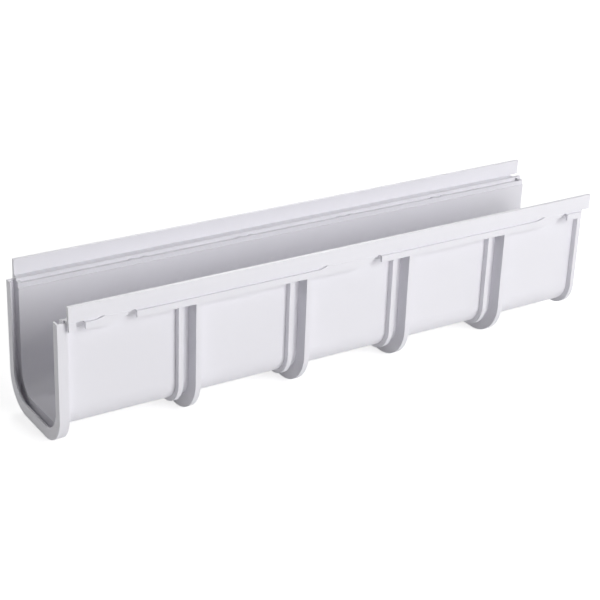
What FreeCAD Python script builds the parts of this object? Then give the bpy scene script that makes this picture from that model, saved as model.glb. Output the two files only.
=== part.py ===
import FreeCAD, Part
import math
import os
import Sketcher

# A one-piece moulded channel drain body: a round-bottomed trough stiffened by hoops,
# with a seat for a grating between two upright strips, a socket at one end and a
# flange that drops into the next body's socket at the other.
# Local X runs along the drain from the socket-side end of the strips, Y across it and
# Z up from the underside of the deep hoops. The body is then centred on its own length.

SIZES = [
    ("laying_length", 500.0, "strip length, also the pitch of bodies laid end to end"),
    ("height", 121.0, "underside of the deep hoops to the strip tops"),
    ("trough_width", 78.0, "outside of the trough walls"),
    ("bend_radius", 21.0, "outside radius where wall turns into floor"),
    ("wall", 2.2, "trough wall and floor"),
    ("strip_span", 102.0, "outside to outside of the upright strips"),
    ("strip_height", 13.0, "strip tops down to the upper seat"),
    ("strip_thickness", 2.8, "upright strips"),
    ("ledge_inner", 1.2, "plain wall out to the edge of the lower seat"),
    ("ledge_outer", 3.0, "width of the lower seat"),
    ("step_drop", 3.0, "upper seat down to lower seat"),
    ("bead_drop", 3.8, "lower seat down to the plain wall"),
    ("bracket_drop", 3.0, "plain wall's top down to the foot of the bracket outside it"),
    ("shelf_thickness", 3.0, "shelf that carries the strips"),
    ("shelf_inset", 8.5, "shelf edge stops this far short of the strips' flange-side end"),
    ("skirt_thickness", 2.0, "edge turned down from the shelf"),
    ("skirt_height", 7.0, "upper seat down to the skirt's lower edge"),
    ("skirt_proud", 0.4, "skirt stands this far outside the strips"),
    ("line_height", 2.4, "shadow groove at the foot of the strips"),
    ("line_rise", 0.8, "groove's upper edge above the upper seat"),
    ("line_taper", 8.0, "length over which the groove runs out at a pad"),
    ("notch_width", 7.4, "gaps in the skirt"),
    ("notch_depth", 6.0, "how far a gap hollows the shelf behind it"),
    ("notch_cover", 1.0, "seat left over that hollow"),
    ("notch_lead", 3.0, "slanted part of a gap's top"),
    ("notch_ramp", 15.0, "length over which the skirt tapers up to a gap"),
    ("end_tab", 6.0, "skirt left standing at the socket end"),
    ("short_pad", 18.0, "plain length of strip foot before an end gap"),
    ("long_pad", 44.0, "plain length of strip foot before the middle gap"),
    ("first_gap", 48.0, "end of the strips to the start of the first gap"),
    ("middle_gap", 20.0, "mid-length to the start of the middle gap"),
    ("last_gap", 32.0, "start of the last gap to the end of the strips"),
    ("bays", 5.0, "equal bays marked out by the shallow hoops"),
    ("end_setback", 1.6, "trough stops this far short of the strips"),
    ("flange_reach", 5.2, "flange and shallow hoops, out from the wall"),
    ("flange_drop", 2.4, "flange and shallow hoops, down from the floor"),
    ("flange_bend", 24.0, "flange and shallow hoops, outside radius"),
    ("flange_thickness", 4.0, "flange and shallow hoops, along the drain"),
    ("rib_reach", 12.0, "deep hoops, out from the wall"),
    ("rib_drop", 10.7, "deep hoops, down from the floor"),
    ("rib_bend", 32.5, "deep hoops, outside radius"),
    ("rib_thickness", 4.6, "deep hoops, along the drain"),
    ("rib_gap", 7.4, "clear space between the two hoops of a pair"),
    ("socket_reach", 7.2, "socket past the strips' end"),
    ("socket_rim", 1.4, "socket's lip, along the drain"),
    ("socket_slot", 4.4, "slot for the next flange, along the drain"),
    ("socket_back", 2.4, "web behind the slot"),
    ("socket_wall", 7.6, "socket's outside, out from the trough wall"),
    ("socket_fall", 10.3, "socket's underside, down from the floor"),
    ("socket_bend", 28.0, "socket's outside radius"),
    ("socket_skin", 2.0, "material outside the slot"),
    ("socket_clear", 0.4, "room between the socket's lip and the next body"),
    ("socket_drop", 1.5, "upper seat down to the socket's top"),
    ("merge", 0.6, "how far joined pieces of the moulding run into each other"),
]

os.makedirs("parts", exist_ok=True)
doc = FreeCAD.newDocument("channel_drain")
sheet = doc.addObject("Spreadsheet::Sheet", "Sizes")
for row, (alias, number, note) in enumerate(SIZES, start=1):
    sheet.set("A%d" % row, alias)
    sheet.set("B%d" % row, repr(number))
    sheet.set("C%d" % row, note)
    sheet.setAlias("B%d" % row, alias)
doc.recompute()


class Size:
    """A sum of named sizes that knows both its value and its expression."""

    def __init__(self, terms, number=0.0):
        self.terms = {k: v for k, v in terms.items() if v}
        self.number = number

    def __add__(self, other):
        other = other if isinstance(other, Size) else Size({}, other)
        terms = dict(self.terms)
        for k, v in other.terms.items():
            terms[k] = terms.get(k, 0.0) + v
        return Size(terms, self.number + other.number)

    def __mul__(self, factor):
        return Size({k: v * factor for k, v in self.terms.items()}, self.number * factor)

    def __neg__(self):
        return self * -1.0

    def __sub__(self, other):
        return self + (-other)

    @property
    def value(self):
        return self.number + sum(v * sheet.get(k) for k, v in self.terms.items())

    @property
    def text(self):
        bits = ["%g * Sizes.%s" % (v, k) for k, v in self.terms.items()]
        return " + ".join(bits + ["%g" % self.number])


def size(alias):
    return Size({alias: 1.0})


ZERO = Size({})
half_trough = size("trough_width") * 0.5
half_span = size("strip_span") * 0.5
floor_under = size("rib_drop")
seat = size("height") - size("strip_height")
shelf_under = seat - size("shelf_thickness")
skirt_face = half_span + size("skirt_proud")
groove_face = skirt_face - size("skirt_thickness")
shelf_split = half_trough + size("flange_reach")
shelf_end = size("laying_length") - size("shelf_inset")
hoop_top = shelf_under + size("merge")
trough_start = size("socket_rim") + size("socket_slot") - size("socket_reach")
trough_end = size("laying_length") - size("end_setback")

body = doc.addObject("PartDesign::Body", "channel_body")
planes = {f.Role: f for f in body.Origin.OriginFeatures}


def new_sketch(name, plane, offset):
    sketch = body.newObject("Sketcher::SketchObject", name)
    sketch.AttachmentSupport = (planes[plane], [""])
    sketch.MapMode = "FlatFace"
    sketch.AttachmentOffset = FreeCAD.Placement(
        FreeCAD.Vector(0, 0, offset.value), FreeCAD.Rotation())
    sketch.setExpression("AttachmentOffset.Base.z", offset.text)
    return sketch


def pin(sketch, geometry, end, across, up):
    """Hold one end of a line at named distances from the sketch's origin."""
    for kind, amount in (("DistanceX", across), ("DistanceY", up)):
        index = sketch.addConstraint(
            Sketcher.Constraint(kind, -1, 1, geometry, end, amount.value))
        sketch.setExpression("Constraints[%d]" % index, amount.text)


def line(a, b):
    return Part.LineSegment(FreeCAD.Vector(a[0], a[1], 0), FreeCAD.Vector(b[0], b[1], 0))


def polygon(sketch, corners):
    """Closed outline whose every corner is held by named sizes."""
    spots = [(a.value, b.value) for a, b in corners]
    count = len(corners)
    first = None
    for i in range(count):
        index = sketch.addGeometry(line(spots[i], spots[(i + 1) % count]), False)
        first = index if first is None else first
        pin(sketch, index, 1, *corners[i])
    for i in range(count):
        following = first + (i + 1) % count
        sketch.addConstraint(Sketcher.Constraint("Coincident", first + i, 2, following, 1))


def both_sides(sketch, corners):
    """One closed outline on the +Y side and its mirror image on the -Y side."""
    polygon(sketch, corners)
    polygon(sketch, [(-a, b) for a, b in corners])


def hoop_outline(sketch, path):
    """Outline symmetric about the drain's centre plane.

    path holds (across, up, radius) down one side; where radius is given, a
    quarter bend of that radius leads on to the next corner.
    """
    ends = {}
    for side in (1, -1):
        spots = [(side * a.value, b.value) for a, b, _ in path]
        ids = []
        for i in range(len(path) - 1):
            (x0, y0), (x1, y1), radius = spots[i], spots[i + 1], path[i][2]
            if radius is None:
                ids.append((sketch.addGeometry(line(spots[i], spots[i + 1]), False), 1, 2))
                continue
            low, high = ((x0, y0), (x1, y1)) if y0 < y1 else ((x1, y1), (x0, y0))
            circle = Part.Circle(FreeCAD.Vector(low[0], high[1], 0),
                                 FreeCAD.Vector(0, 0, 1), radius.value)
            start, stop = (-90, 0) if side > 0 else (180, 270)
            arc = Part.ArcOfCircle(circle, math.radians(start), math.radians(stop))
            index = sketch.addGeometry(arc, False)
            low_end = 1 if side > 0 else 2
            near, far = (low_end, 3 - low_end) if y0 < y1 else (3 - low_end, low_end)
            ids.append((index, near, far))
            mark = sketch.addConstraint(Sketcher.Constraint("Radius", index, radius.value))
            sketch.setExpression("Constraints[%d]" % mark, radius.text)
        for i, (index, near, far) in enumerate(ids):
            if i:
                before = ids[i - 1]
                sketch.addConstraint(
                    Sketcher.Constraint("Coincident", before[0], before[2], index, near))
            pin(sketch, index, near, path[i][0] * side, path[i][1])
        pin(sketch, ids[-1][0], ids[-1][2], path[-1][0] * side, path[-1][1])
        ends[side] = (ids[0][0], ids[0][1], ids[-1][0], ids[-1][2])
    for which, corner in ((0, path[0]), (2, path[-1])):
        across, up = corner[0].value, corner[1].value
        index = sketch.addGeometry(line((-across, up), (across, up)), False)
        left, right = ends[-1], ends[1]
        sketch.addConstraint(
            Sketcher.Constraint("Coincident", index, 1, left[which], left[which + 1]))
        sketch.addConstraint(
            Sketcher.Constraint("Coincident", index, 2, right[which], right[which + 1]))


def bend(out, down, radius):
    """A U round the trough: distance out from its wall, down from its floor, radius."""
    return half_trough + out, floor_under - down, radius


OUTER_FACE = bend(ZERO, ZERO, size("bend_radius"))
MID_WALL = bend(size("wall") * -0.5, size("wall") * -0.5, size("bend_radius") - size("wall") * 0.5)
INNER_FACE = bend(-size("wall"), -size("wall"), size("bend_radius") - size("wall"))


def between(outside, inside, tops):
    """Side path of the material between two U's, joined over the given top corners."""
    (far, under, wide), (near, floor, tight) = outside, inside
    path = [(far - wide, under, wide), (far, under + wide, None)]
    path += [(across, up, None) for across, up in tops]
    return path + [(near, floor + tight, tight), (near - tight, floor, None)]


def pad(name, sketch, length):
    feature = body.newObject("PartDesign::Pad", name)
    feature.Profile = sketch
    feature.Length = length.value
    feature.setExpression("Length", length.text)
    return feature


def hoop(name, start, length, outside, inside, top):
    sketch = new_sketch(name + "_outline", "YZ_Plane", start)
    hoop_outline(sketch, between(outside, inside, [(outside[0], top), (inside[0], top)]))
    return pad(name, sketch, length)


def repeat(name, feature, span, occurrences):
    """The same hoop again at equal steps along the drain."""
    pattern = body.newObject("PartDesign::LinearPattern", name)
    pattern.Originals = [feature]
    pattern.Direction = (planes["X_Axis"], [""])
    pattern.Length = span.value
    pattern.setExpression("Length", span.text)
    pattern.Occurrences = int(round(occurrences.value))
    pattern.setExpression("Occurrences", occurrences.text)
    body.Tip = pattern


# Trough: floor, walls and the stepped seats at their tops.
lower_seat = seat - size("step_drop")
plain_wall = lower_seat - size("bead_drop")
bracket_foot = plain_wall - size("bracket_drop")
lower_edge = half_trough - size("wall") + size("ledge_inner")
upper_edge = lower_edge + size("ledge_outer")
trough_sketch = new_sketch("trough_outline", "YZ_Plane", trough_start)
hoop_outline(trough_sketch, between(OUTER_FACE, INNER_FACE, [
    (half_trough, bracket_foot),
    (shelf_split, shelf_under),
    (shelf_split, seat),
    (upper_edge, seat),
    (upper_edge, lower_seat),
    (lower_edge, lower_seat),
    (lower_edge, plain_wall),
    (half_trough - size("wall"), plain_wall),
]))
pad("trough", trough_sketch, trough_end - trough_start)

# Shelf edge with its turned-down skirt, and the upright strips standing on it.
shelf_sketch = new_sketch("shelf_outline", "YZ_Plane", ZERO)
both_sides(shelf_sketch, [
    (shelf_split - size("wall"), seat),
    (skirt_face, seat),
    (skirt_face, seat - size("skirt_height")),
    (groove_face, seat - size("skirt_height")),
    (groove_face, shelf_under),
    (shelf_split - size("wall"), shelf_under),
])
pad("shelf", shelf_sketch, shelf_end)

strip_sketch = new_sketch("strip_outline", "YZ_Plane", ZERO)
both_sides(strip_sketch, [
    (half_span - size("strip_thickness"), seat),
    (half_span, seat),
    (half_span, size("height")),
    (half_span - size("strip_thickness"), size("height")),
])
pad("strips", strip_sketch, size("laying_length"))

# Hoops in pairs; the last shallow one is the end flange.
bay = size("laying_length") * (1.0 / sheet.get("bays"))
flange_face = bay - size("end_setback")
flange = hoop("shallow_hoop", flange_face - size("flange_thickness"), size("flange_thickness"),
              bend(size("flange_reach"), size("flange_drop"), size("flange_bend")),
              MID_WALL, hoop_top)
repeat("shallow_hoops", flange, bay * (sheet.get("bays") - 1.0), size("bays"))
deep = hoop("deep_hoop", flange_face + size("rib_gap"), size("rib_thickness"),
            bend(size("rib_reach"), size("rib_drop"), size("rib_bend")), MID_WALL, hoop_top)
repeat("deep_hoops", deep, bay * (sheet.get("bays") - 2.0), size("bays") - 1.0)

# Socket: outer skin, lip at the mouth and the web it grows from.
socket_top = seat - size("socket_drop")
mouth = -size("socket_reach")
socket_length = size("socket_rim") + size("socket_slot") + size("socket_back")
skin = size("socket_skin")
socket_outside = bend(size("socket_wall"), size("socket_fall"), size("socket_bend"))
slot_outside = bend(size("socket_wall") - skin, size("socket_fall") - skin,
                    size("socket_bend") - skin)
lip_inside = bend(size("socket_clear"), size("socket_clear"),
                  size("bend_radius") + size("socket_clear"))
hoop("socket_skin_ring", mouth, socket_length, socket_outside, slot_outside, socket_top)
hoop("socket_lip", mouth, size("socket_rim"), socket_outside, lip_inside, socket_top)
hoop("socket_web", trough_start, size("socket_back"), socket_outside, MID_WALL, socket_top)


def side_cut(name, inner, outlines):
    """Cut outward from inside the skirt on one side, then on the other."""
    sketch = new_sketch(name + "_outline", "XZ_Plane", inner)
    for corners in outlines:
        polygon(sketch, corners)
    pocket = body.newObject("PartDesign::Pocket", name)
    pocket.Profile = sketch
    pocket.Reversed = True
    depth = skirt_face - inner + size("merge")
    pocket.Length = depth.value
    pocket.setExpression("Length", depth.text)
    mirrored = body.newObject("PartDesign::Mirrored", name + "_pair")
    mirrored.Originals = [pocket]
    mirrored.MirrorPlane = (planes["XZ_Plane"], [""])
    body.Tip = mirrored


# Shadow groove at the strips' feet, broken by plain pads and by gaps in the skirt.
gap_starts = [size("first_gap"),
              size("laying_length") * 0.5 + size("middle_gap"),
              size("laying_length") - size("last_gap")]
pads = [size("short_pad"), size("long_pad"), size("short_pad")]
line_top = seat + size("line_rise")
line_foot = line_top - size("line_height")
runs = []
start = size("end_tab") + size("notch_width")
for gap, plain in zip(gap_starts, pads):
    runs.append((start, gap - plain, size("line_taper")))
    start = gap + size("notch_width")
runs.append((start, shelf_end + size("merge"), ZERO))
side_cut("shadow_line", groove_face, [
    [(a, line_foot), (b - taper, line_foot), (b, line_top), (a, line_top)]
    for a, b, taper in runs])

skirt_foot = seat - size("skirt_height") - size("merge")
outlines = [[(size("end_tab"), skirt_foot),
             (size("end_tab") + size("notch_width"), skirt_foot),
             (size("end_tab") + size("notch_width"), seat),
             (size("end_tab"), seat)]]
hollow_top = seat - size("notch_cover")
hollow_foot = shelf_under - size("merge")
hollows = [[(size("end_tab"), hollow_foot),
            (size("end_tab") + size("notch_width"), hollow_foot),
            (size("end_tab") + size("notch_width"), hollow_top),
            (size("end_tab"), hollow_top)]]
for gap in gap_starts:
    outlines.append([(gap - size("notch_ramp"), skirt_foot),
                     (gap + size("notch_width"), skirt_foot),
                     (gap + size("notch_width"), seat),
                     (gap + size("notch_lead"), seat),
                     (gap, seat - size("line_height"))])
    hollows.append([(gap, hollow_foot),
                    (gap + size("notch_width"), hollow_foot),
                    (gap + size("notch_width"), hollow_top),
                    (gap, hollow_top)])
side_cut("skirt_gaps", half_span - size("strip_thickness") * 0.9, outlines)
side_cut("gap_hollows", skirt_face - size("notch_depth"), hollows)

# Room beside the end flange for the lip of the next body's socket.
last_flange = trough_end - size("flange_thickness")
lip_room = socket_top + size("socket_clear")
side_cut("lip_recess", half_trough, [[
    (shelf_end, bracket_foot - size("merge")),
    (last_flange, bracket_foot - size("merge")),
    (last_flange, lip_room),
    (shelf_end, lip_room)]])

body.Placement = FreeCAD.Placement(
    FreeCAD.Vector(((size("socket_reach") - size("laying_length")) * 0.5).value, 0, 0),
    FreeCAD.Rotation())
body.setExpression(
    "Placement.Base.x", ((size("socket_reach") - size("laying_length")) * 0.5).text)
body.Label = "channel_body"
doc.recompute()

for item in doc.Objects:
    if "Invalid" in item.State or "Error" in item.State:
        raise RuntimeError("%s did not build: %s" % (item.Name, item.State))
    shape = getattr(item, "Shape", None)
    if shape is not None and not shape.isNull() and not shape.isValid():
        raise RuntimeError("%s has a bad shape" % item.Name)
if len(body.Shape.Solids) != 1:
    raise RuntimeError("channel_body is %d solids" % len(body.Shape.Solids))
body.Shape.exportStep("parts/channel_body.step")
box = body.Shape.BoundBox
print("channel_body %.1f x %.1f x %.1f mm, %.1f cm3" % (
    box.XLength, box.YLength, box.ZLength, body.Shape.Volume / 1000.0))
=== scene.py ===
import math

import bpy
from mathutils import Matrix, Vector

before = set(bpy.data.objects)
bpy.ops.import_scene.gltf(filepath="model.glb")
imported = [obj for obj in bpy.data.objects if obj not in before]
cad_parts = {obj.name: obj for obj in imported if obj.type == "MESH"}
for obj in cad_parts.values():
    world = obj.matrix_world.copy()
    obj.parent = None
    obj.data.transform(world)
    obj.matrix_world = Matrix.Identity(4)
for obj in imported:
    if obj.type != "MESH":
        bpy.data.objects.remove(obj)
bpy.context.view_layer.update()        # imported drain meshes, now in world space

# --- Drain body -------------------------------------------------------------
# One injection moulding in white rigid PVC: trough, hoops, seats, strips, socket
# and flange together. The surface is smooth from a polished tool, slightly cloudy,
# with the faint flow waves that long thin walls keep.
PVC_WHITE = (0.850, 0.842, 0.885, 1.0)
PVC_SHADE = (0.828, 0.820, 0.865, 1.0)
PVC_IOR = 1.53
POLISHED = 0.37          # roughness where the surface is smoothest
DULL = 0.49              # roughness where it is dullest
CLOUDS_PER_METRE = 14.0
CLOUD_DETAIL = 4.0
WAVES_PER_METRE = 60.0
WAVE_DETAIL = 3.0
WAVE_STRENGTH = 0.12
WAVE_HEIGHT = 0.0006


def moulded_pvc(name):
    material = bpy.data.materials.new(name)
    material.use_nodes = True
    nodes, links = material.node_tree.nodes, material.node_tree.links
    shader = nodes["Principled BSDF"]
    shader.inputs["IOR"].default_value = PVC_IOR
    place = nodes.new("ShaderNodeTexCoord")

    cloud = nodes.new("ShaderNodeTexNoise")
    cloud.inputs["Scale"].default_value = CLOUDS_PER_METRE
    cloud.inputs["Detail"].default_value = CLOUD_DETAIL
    links.new(place.outputs["Object"], cloud.inputs["Vector"])
    tint = nodes.new("ShaderNodeMix")
    tint.data_type = "RGBA"
    tint.inputs["A"].default_value = PVC_SHADE
    tint.inputs["B"].default_value = PVC_WHITE
    links.new(cloud.outputs["Fac"], tint.inputs["Factor"])
    links.new(tint.outputs["Result"], shader.inputs["Base Color"])

    flow = nodes.new("ShaderNodeTexNoise")
    flow.inputs["Scale"].default_value = WAVES_PER_METRE
    flow.inputs["Detail"].default_value = WAVE_DETAIL
    links.new(place.outputs["Object"], flow.inputs["Vector"])
    sheen = nodes.new("ShaderNodeMapRange")
    sheen.inputs["To Min"].default_value = POLISHED
    sheen.inputs["To Max"].default_value = DULL
    links.new(flow.outputs["Fac"], sheen.inputs["Value"])
    links.new(sheen.outputs["Result"], shader.inputs["Roughness"])

    wave = nodes.new("ShaderNodeBump")
    wave.inputs["Strength"].default_value = WAVE_STRENGTH
    wave.inputs["Distance"].default_value = WAVE_HEIGHT
    links.new(flow.outputs["Fac"], wave.inputs["Height"])
    links.new(wave.outputs["Normal"], shader.inputs["Normal"])
    return material


drain = bpy.data.objects["channel_body"]
drain.data.materials.clear()
drain.data.materials.append(moulded_pvc("white_pvc"))

# --- Floor ------------------------------------------------------------------
# Plain pale floor just under the drain. To the eye and in reflections it also
# glows, more with distance, so that it runs into the white surround. Near the
# drain the glow is weaker and leaves a faint shadow.
FLOOR_REACH = 6.0
FLOOR_LEVEL = -0.0005
FLOOR_GREY = (0.75, 0.75, 0.75, 1.0)
FLOOR_ROUGHNESS = 0.9
GLOW_NEAR, GLOW_FAR = 0.66, 1.0
FADE_START, FADE_END = 0.5, 1.5


def seen_or_glossy(nodes, links):
    """One where the camera or a reflection looks, nought for light itself."""
    path = nodes.new("ShaderNodeLightPath")
    either = nodes.new("ShaderNodeMath")
    either.operation = "MAXIMUM"
    also = nodes.new("ShaderNodeMath")
    also.operation = "MAXIMUM"
    links.new(path.outputs["Is Camera Ray"], either.inputs[0])
    links.new(path.outputs["Is Glossy Ray"], either.inputs[1])
    links.new(either.outputs["Value"], also.inputs[0])
    links.new(path.outputs["Is Transmission Ray"], also.inputs[1])
    return also.outputs["Value"]


def floor_paint(name):
    material = bpy.data.materials.new(name)
    material.use_nodes = True
    nodes, links = material.node_tree.nodes, material.node_tree.links
    matt = nodes["Principled BSDF"]
    matt.inputs["Base Color"].default_value = FLOOR_GREY
    matt.inputs["Roughness"].default_value = FLOOR_ROUGHNESS

    place = nodes.new("ShaderNodeTexCoord")
    away = nodes.new("ShaderNodeVectorMath")
    away.operation = "LENGTH"
    links.new(place.outputs["Object"], away.inputs[0])
    fade = nodes.new("ShaderNodeMapRange")
    fade.inputs["From Min"].default_value = FADE_START
    fade.inputs["From Max"].default_value = FADE_END
    fade.inputs["To Min"].default_value = GLOW_NEAR
    fade.inputs["To Max"].default_value = GLOW_FAR
    links.new(away.outputs["Value"], fade.inputs["Value"])
    lift = nodes.new("ShaderNodeMath")
    lift.operation = "MULTIPLY"
    links.new(seen_or_glossy(nodes, links), lift.inputs[0])
    links.new(fade.outputs["Result"], lift.inputs[1])

    glow = nodes.new("ShaderNodeEmission")
    links.new(lift.outputs["Value"], glow.inputs["Strength"])
    both = nodes.new("ShaderNodeAddShader")
    links.new(matt.outputs["BSDF"], both.inputs[0])
    links.new(glow.outputs["Emission"], both.inputs[1])
    links.new(both.outputs["Shader"], nodes["Material Output"].inputs["Surface"])
    return material


floor_mesh = bpy.data.meshes.new("floor")
floor_mesh.from_pydata([(-FLOOR_REACH, -FLOOR_REACH, FLOOR_LEVEL),
                        (FLOOR_REACH, -FLOOR_REACH, FLOOR_LEVEL),
                        (FLOOR_REACH, FLOOR_REACH, FLOOR_LEVEL),
                        (-FLOOR_REACH, FLOOR_REACH, FLOOR_LEVEL)],
                       [], [(0, 1, 2, 3)])
floor_mesh.materials.append(floor_paint("floor_paint"))
floor = bpy.data.objects.new("floor", floor_mesh)
bpy.context.collection.objects.link(floor)

# --- Light ------------------------------------------------------------------
# Soft studio light: a large low box in front of the near side and three smaller
# ones to the right and behind. The surround looks white but lights nothing.
MIDDLE_OF_DRAIN = Vector((0.0, 0.0, 0.06))
SURROUND_WHITE = (1.0, 1.0, 1.0, 1.0)

world = bpy.data.worlds.new("surround")
bpy.context.scene.world = world
world.use_nodes = True
sky_nodes, sky_links = world.node_tree.nodes, world.node_tree.links
sky = sky_nodes["Background"]
sky.inputs["Color"].default_value = SURROUND_WHITE
sky_links.new(seen_or_glossy(sky_nodes, sky_links), sky.inputs["Strength"])


def soft_box(name, place, width, depth, watts):
    lamp = bpy.data.lights.new(name, "AREA")
    lamp.shape = "RECTANGLE"
    lamp.size = width
    lamp.size_y = depth
    lamp.energy = watts
    holder = bpy.data.objects.new(name, lamp)
    holder.location = place
    aim = MIDDLE_OF_DRAIN - Vector(place)
    holder.rotation_euler = aim.to_track_quat("-Z", "Y").to_euler()
    bpy.context.collection.objects.link(holder)


soft_box("front_box", (0.42, -2.17, 1.00), width=1.2, depth=1.5, watts=43.5)
soft_box("right_box", (1.45, -0.53, 1.90), width=0.9, depth=0.9, watts=8.5)
soft_box("back_right_box", (1.04, 1.80, 1.26), width=0.9, depth=0.9, watts=16.7)
soft_box("back_left_box", (-1.59, 1.34, 1.26), width=0.9, depth=0.9, watts=13.0)

# --- Camera -----------------------------------------------------------------
# Above the near side towards the socket end, with a long lens, and turned so
# that the drain runs from lower left to upper right.
LENS_MM = 95.3
CAMERA_PLACE = (-0.6747, -1.0078, 0.6103)
CAMERA_TURN_DEGREES = (65.288, -2.027, -32.341)

bpy.context.scene.view_settings.view_transform = "Standard"
lens = bpy.data.cameras.new("camera")
lens.lens = LENS_MM
camera = bpy.data.objects.new("camera", lens)
camera.location = CAMERA_PLACE
camera.rotation_euler = [math.radians(angle) for angle in CAMERA_TURN_DEGREES]
bpy.context.collection.objects.link(camera)
bpy.context.scene.camera = camera
